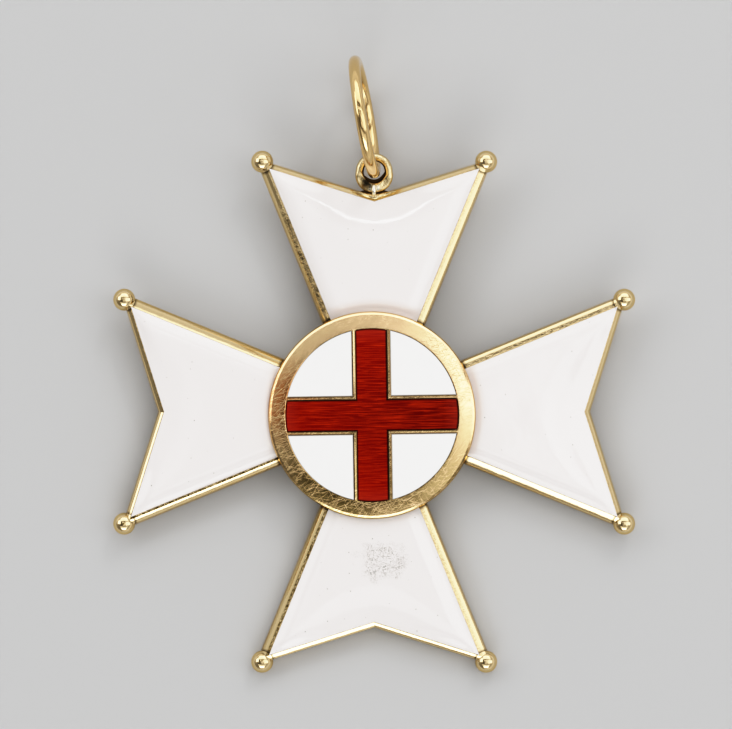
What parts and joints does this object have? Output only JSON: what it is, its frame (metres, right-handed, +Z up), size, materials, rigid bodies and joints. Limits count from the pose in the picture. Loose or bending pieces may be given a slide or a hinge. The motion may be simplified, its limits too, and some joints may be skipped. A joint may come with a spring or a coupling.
{
  "type": "order cross",
  "caption": "White enamelled gold order cross with notched arms, ball points, a red cross medallion and a suspension ring, lying on its back.",
  "frame": {"origin": "on the ground, under the middle of the box that the lying badge takes up", "axes": "+Z up, +Y along the ground towards the head of the badge, +X to its right seen from the front; the face looks up, tipped 3.26 degrees about X because the suspension ring lifts the head"},
  "size_m": [0.0522, 0.0614, 0.0124],
  "materials": {
    "polished_gold": "polished yellow gold, solid, soldered",
    "satin_gold": "flat-lapped yellow gold with fine scratches",
    "wire_gold": "polished round gold wire",
    "arm_enamel": "opaque white vitreous enamel, glossy, cushioned",
    "field_enamel": "opaque white vitreous enamel, stoned flat and glossy",
    "red_enamel": "transparent red vitreous enamel over ruled gold, stoned flat and glossy"
  },
  "bodies": {
    "root": {"cross_body": "polished_gold", "arm_enamel_top": "arm_enamel", "arm_enamel_right": "arm_enamel", "arm_enamel_bottom": "arm_enamel", "arm_enamel_left": "arm_enamel", "medallion": "satin_gold", "medallion_cross": "red_enamel", "medallion_field_upper_left": "field_enamel", "medallion_field_upper_right": "field_enamel", "medallion_field_lower_left": "field_enamel", "medallion_field_lower_right": "field_enamel", "suspension_ring": "wire_gold"}
  },
  "joints": []
}
